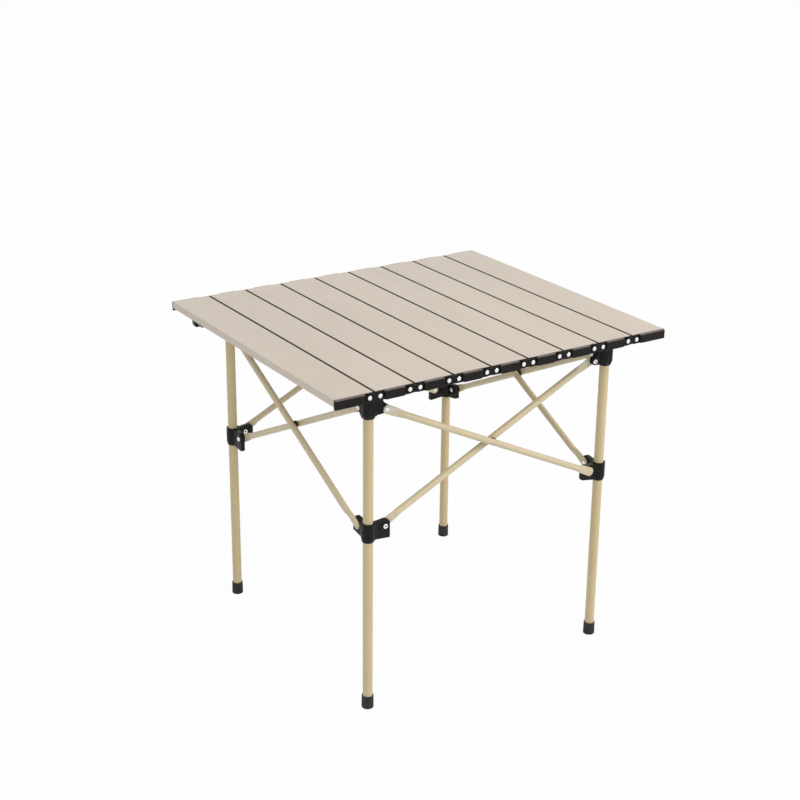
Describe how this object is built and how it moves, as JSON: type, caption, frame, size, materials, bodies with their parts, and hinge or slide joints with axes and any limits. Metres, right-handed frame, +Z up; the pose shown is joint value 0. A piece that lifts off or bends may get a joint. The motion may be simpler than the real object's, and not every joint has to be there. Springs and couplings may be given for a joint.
{
  "type": "folding camp table",
  "caption": "Folding camp table with a roll-up top of hinged metal slats on a square frame of tubular legs and crossed bars that slide closed on sleeves.",
  "frame": {"origin": "on the floor under the middle of the tabletop", "axes": "+Z up; +X to the right along the row of slats, +Y to the back along each slat"},
  "size_m": [0.7, 0.616, 0.628],
  "materials": {
    "slat_aluminium": "satin beige coating on drawn aluminium channel",
    "frame_tube": "satin champagne coating on aluminium tube",
    "black_plastic": "black moulded nylon, slightly glossy",
    "cap_plastic": "black moulded plastic",
    "link_plate": "black painted steel plate with bright rivets",
    "foot_rubber": "matt dark grey rubber",
    "strap_webbing": "woven strap with a dark moulded clip"
  },
  "bodies": {
    "front_left_leg": {"leg_front_left": "frame_tube", "foot_front_left": "foot_rubber", "top_bracket_front_left": "black_plastic"},
    "front_right_leg": {"leg_front_right": "frame_tube", "foot_front_right": "foot_rubber", "top_bracket_front_right": "black_plastic"},
    "back_right_leg": {"leg_back_right": "frame_tube", "foot_back_right": "foot_rubber", "top_bracket_back_right": "black_plastic"},
    "back_left_leg": {"leg_back_left": "frame_tube", "foot_back_left": "foot_rubber", "top_bracket_back_left": "black_plastic"},
    "front_left_sleeve": {"sliding_sleeve_front_left": "black_plastic"},
    "front_right_sleeve": {"sliding_sleeve_front_right": "black_plastic"},
    "back_right_sleeve": {"sliding_sleeve_back_right": "black_plastic"},
    "back_left_sleeve": {"sliding_sleeve_back_left": "black_plastic"},
    "front_outer_bar": {"front_outer_bar": "frame_tube"},
    "front_inner_bar": {"front_inner_bar": "frame_tube"},
    "right_outer_bar": {"right_outer_bar": "frame_tube"},
    "right_inner_bar": {"right_inner_bar": "frame_tube"},
    "back_outer_bar": {"back_outer_bar": "frame_tube"},
    "back_inner_bar": {"back_inner_bar": "frame_tube"},
    "left_outer_bar": {"left_outer_bar": "frame_tube"},
    "left_inner_bar": {"left_inner_bar": "frame_tube"},
    "slat_1": {"slat_1": "slat_aluminium", "front_end_cap_1": "cap_plastic", "back_end_cap_1": "cap_plastic", "roll_strap": "strap_webbing"},
    "slat_2": {"slat_2": "slat_aluminium", "front_end_cap_2": "cap_plastic", "back_end_cap_2": "cap_plastic"},
    "slat_3": {"slat_3": "slat_aluminium", "front_end_cap_3": "cap_plastic", "back_end_cap_3": "cap_plastic"},
    "slat_4": {"slat_4": "slat_aluminium", "front_end_cap_4": "cap_plastic", "back_end_cap_4": "cap_plastic"},
    "slat_5": {"slat_5": "slat_aluminium", "front_end_cap_5": "cap_plastic", "back_end_cap_5": "cap_plastic"},
    "slat_6": {"slat_6": "slat_aluminium", "front_end_cap_6": "cap_plastic", "back_end_cap_6": "cap_plastic"},
    "slat_7": {"slat_7": "slat_aluminium", "front_end_cap_7": "cap_plastic", "back_end_cap_7": "cap_plastic"},
    "slat_8": {"slat_8": "slat_aluminium", "front_end_cap_8": "cap_plastic", "back_end_cap_8": "cap_plastic"},
    "slat_9": {"slat_9": "slat_aluminium", "front_end_cap_9": "cap_plastic", "back_end_cap_9": "cap_plastic"},
    "link_1": {"front_link_1": "link_plate"},
    "link_2": {"front_link_2": "link_plate"},
    "link_3": {"front_link_3": "link_plate"},
    "link_4": {"front_link_4": "link_plate"},
    "link_5": {"front_link_5": "link_plate"},
    "link_6": {"front_link_6": "link_plate"},
    "link_7": {"front_link_7": "link_plate"},
    "link_8": {"front_link_8": "link_plate"}
  },
  "joints": [
    {"name": "frame_fold", "type": "hinge", "parent": "front_left_leg", "child": "front_outer_bar", "pos_m": [-0.222, -0.255, 0.572], "axis": [0, 1, 0], "range_deg": [0, 60]},
    {"name": "front_crossing", "type": "hinge", "parent": "front_outer_bar", "child": "front_inner_bar", "pos_m": [0.00375, -0.255, 0.4625], "axis": [0, -1, 0], "range_deg": [0, 120]},
    {"name": "front_right_leg_pivot", "type": "hinge", "parent": "front_inner_bar", "child": "front_right_leg", "pos_m": [0.2295, -0.255, 0.572], "axis": [0, 1, 0], "range_deg": [0, 60]},
    {"name": "front_left_sleeve_pivot", "type": "hinge", "parent": "front_inner_bar", "child": "front_left_sleeve", "pos_m": [-0.222, -0.255, 0.353], "axis": [0, 1, 0], "range_deg": [0, 60]},
    {"name": "front_right_sleeve_pivot", "type": "hinge", "parent": "front_outer_bar", "child": "front_right_sleeve", "pos_m": [0.2295, -0.255, 0.353], "axis": [0, -1, 0], "range_deg": [0, 60]},
    {"name": "right_outer_pivot", "type": "hinge", "parent": "front_right_leg", "child": "right_outer_bar", "pos_m": [0.255, -0.222, 0.572], "axis": [-1, 0, 0], "range_deg": [0, 60]},
    {"name": "right_crossing", "type": "hinge", "parent": "right_outer_bar", "child": "right_inner_bar", "pos_m": [0.255, 0.00375, 0.4625], "axis": [1, 0, 0], "range_deg": [0, 120]},
    {"name": "back_right_leg_pivot", "type": "hinge", "parent": "right_inner_bar", "child": "back_right_leg", "pos_m": [0.255, 0.2295, 0.572], "axis": [-1, 0, 0], "range_deg": [0, 60]},
    {"name": "back_right_sleeve_pivot", "type": "hinge", "parent": "right_outer_bar", "child": "back_right_sleeve", "pos_m": [0.255, 0.2295, 0.353], "axis": [1, 0, 0], "range_deg": [0, 60]},
    {"name": "left_inner_pivot", "type": "hinge", "parent": "front_left_leg", "child": "left_inner_bar", "pos_m": [-0.255, -0.2295, 0.572], "axis": [-1, 0, 0], "range_deg": [0, 60]},
    {"name": "left_crossing", "type": "hinge", "parent": "left_inner_bar", "child": "left_outer_bar", "pos_m": [-0.255, -0.00375, 0.4625], "axis": [1, 0, 0], "range_deg": [0, 120]},
    {"name": "back_left_leg_pivot", "type": "hinge", "parent": "left_outer_bar", "child": "back_left_leg", "pos_m": [-0.255, 0.222, 0.572], "axis": [-1, 0, 0], "range_deg": [0, 60]},
    {"name": "back_left_sleeve_pivot", "type": "hinge", "parent": "left_inner_bar", "child": "back_left_sleeve", "pos_m": [-0.255, 0.222, 0.353], "axis": [1, 0, 0], "range_deg": [0, 60]},
    {"name": "back_outer_pivot", "type": "hinge", "parent": "back_right_leg", "child": "back_outer_bar", "pos_m": [0.222, 0.255, 0.572], "axis": [0, -1, 0], "range_deg": [0, 60]},
    {"name": "back_crossing", "type": "hinge", "parent": "back_outer_bar", "child": "back_inner_bar", "pos_m": [-0.00375, 0.255, 0.4625], "axis": [0, 1, 0], "range_deg": [0, 120]},
    {"name": "top_lift", "type": "slide", "parent": "front_left_leg", "child": "slat_5", "axis": [0, 0, 1], "range_m": [0, 0.55]},
    {"name": "link_5_inner_pivot", "type": "hinge", "parent": "slat_5", "child": "link_5", "pos_m": [0.02908, 0, 0.619], "axis": [0, 1, 0], "range_deg": [0, 19]},
    {"name": "link_5_outer_pivot", "type": "hinge", "parent": "link_5", "child": "slat_6", "pos_m": [0.04908, 0, 0.619], "axis": [0, 1, 0], "range_deg": [0, 19]},
    {"name": "link_6_inner_pivot", "type": "hinge", "parent": "slat_6", "child": "link_6", "pos_m": [0.10725, 0, 0.619], "axis": [0, 1, 0], "range_deg": [0, 19]},
    {"name": "link_6_outer_pivot", "type": "hinge", "parent": "link_6", "child": "slat_7", "pos_m": [0.12725, 0, 0.619], "axis": [0, 1, 0], "range_deg": [0, 19]},
    {"name": "link_7_inner_pivot", "type": "hinge", "parent": "slat_7", "child": "link_7", "pos_m": [0.18542, 0, 0.619], "axis": [0, 1, 0], "range_deg": [0, 19]},
    {"name": "link_7_outer_pivot", "type": "hinge", "parent": "link_7", "child": "slat_8", "pos_m": [0.20542, 0, 0.619], "axis": [0, 1, 0], "range_deg": [0, 19]},
    {"name": "link_8_inner_pivot", "type": "hinge", "parent": "slat_8", "child": "link_8", "pos_m": [0.26358, 0, 0.619], "axis": [0, 1, 0], "range_deg": [0, 19]},
    {"name": "link_8_outer_pivot", "type": "hinge", "parent": "link_8", "child": "slat_9", "pos_m": [0.28358, 0, 0.619], "axis": [0, 1, 0], "range_deg": [0, 19]},
    {"name": "link_4_inner_pivot", "type": "hinge", "parent": "slat_5", "child": "link_4", "pos_m": [-0.02908, 0, 0.619], "axis": [0, -1, 0], "range_deg": [0, 19]},
    {"name": "link_4_outer_pivot", "type": "hinge", "parent": "link_4", "child": "slat_4", "pos_m": [-0.04908, 0, 0.619], "axis": [0, -1, 0], "range_deg": [0, 19]},
    {"name": "link_3_inner_pivot", "type": "hinge", "parent": "slat_4", "child": "link_3", "pos_m": [-0.10725, 0, 0.619], "axis": [0, -1, 0], "range_deg": [0, 19]},
    {"name": "link_3_outer_pivot", "type": "hinge", "parent": "link_3", "child": "slat_3", "pos_m": [-0.12725, 0, 0.619], "axis": [0, -1, 0], "range_deg": [0, 19]},
    {"name": "link_2_inner_pivot", "type": "hinge", "parent": "slat_3", "child": "link_2", "pos_m": [-0.18542, 0, 0.619], "axis": [0, -1, 0], "range_deg": [0, 19]},
    {"name": "link_2_outer_pivot", "type": "hinge", "parent": "link_2", "child": "slat_2", "pos_m": [-0.20542, 0, 0.619], "axis": [0, -1, 0], "range_deg": [0, 19]},
    {"name": "link_1_inner_pivot", "type": "hinge", "parent": "slat_2", "child": "link_1", "pos_m": [-0.26358, 0, 0.619], "axis": [0, -1, 0], "range_deg": [0, 19]},
    {"name": "link_1_outer_pivot", "type": "hinge", "parent": "link_1", "child": "slat_1", "pos_m": [-0.28358, 0, 0.619], "axis": [0, -1, 0], "range_deg": [0, 19]}
  ],
  "couplings": [
    {"joint": "front_crossing", "follows": "frame_fold", "ratio": 2},
    {"joint": "front_right_leg_pivot", "follows": "frame_fold", "ratio": 1},
    {"joint": "front_left_sleeve_pivot", "follows": "frame_fold", "ratio": 1},
    {"joint": "front_right_sleeve_pivot", "follows": "frame_fold", "ratio": 1},
    {"joint": "right_outer_pivot", "follows": "frame_fold", "ratio": 1},
    {"joint": "right_crossing", "follows": "frame_fold", "ratio": 2},
    {"joint": "back_right_leg_pivot", "follows": "frame_fold", "ratio": 1},
    {"joint": "back_right_sleeve_pivot", "follows": "frame_fold", "ratio": 1},
    {"joint": "left_inner_pivot", "follows": "frame_fold", "ratio": 1},
    {"joint": "left_crossing", "follows": "frame_fold", "ratio": 2},
    {"joint": "back_left_leg_pivot", "follows": "frame_fold", "ratio": 1},
    {"joint": "back_left_sleeve_pivot", "follows": "frame_fold", "ratio": 1},
    {"joint": "back_outer_pivot", "follows": "frame_fold", "ratio": 1},
    {"joint": "back_crossing", "follows": "frame_fold", "ratio": 2},
    {"joint": "link_5_inner_pivot", "follows": "top_lift", "rad_per_m": 0.60293},
    {"joint": "link_5_outer_pivot", "follows": "top_lift", "rad_per_m": 0.60293},
    {"joint": "link_6_inner_pivot", "follows": "top_lift", "rad_per_m": 0.60293},
    {"joint": "link_6_outer_pivot", "follows": "top_lift", "rad_per_m": 0.60293},
    {"joint": "link_7_inner_pivot", "follows": "top_lift", "rad_per_m": 0.60293},
    {"joint": "link_7_outer_pivot", "follows": "top_lift", "rad_per_m": 0.60293},
    {"joint": "link_8_inner_pivot", "follows": "top_lift", "rad_per_m": 0.60293},
    {"joint": "link_8_outer_pivot", "follows": "top_lift", "rad_per_m": 0.60293},
    {"joint": "link_4_inner_pivot", "follows": "top_lift", "rad_per_m": 0.60293},
    {"joint": "link_4_outer_pivot", "follows": "top_lift", "rad_per_m": 0.60293},
    {"joint": "link_3_inner_pivot", "follows": "top_lift", "rad_per_m": 0.60293},
    {"joint": "link_3_outer_pivot", "follows": "top_lift", "rad_per_m": 0.60293},
    {"joint": "link_2_inner_pivot", "follows": "top_lift", "rad_per_m": 0.60293},
    {"joint": "link_2_outer_pivot", "follows": "top_lift", "rad_per_m": 0.60293},
    {"joint": "link_1_inner_pivot", "follows": "top_lift", "rad_per_m": 0.60293},
    {"joint": "link_1_outer_pivot", "follows": "top_lift", "rad_per_m": 0.60293}
  ]
}
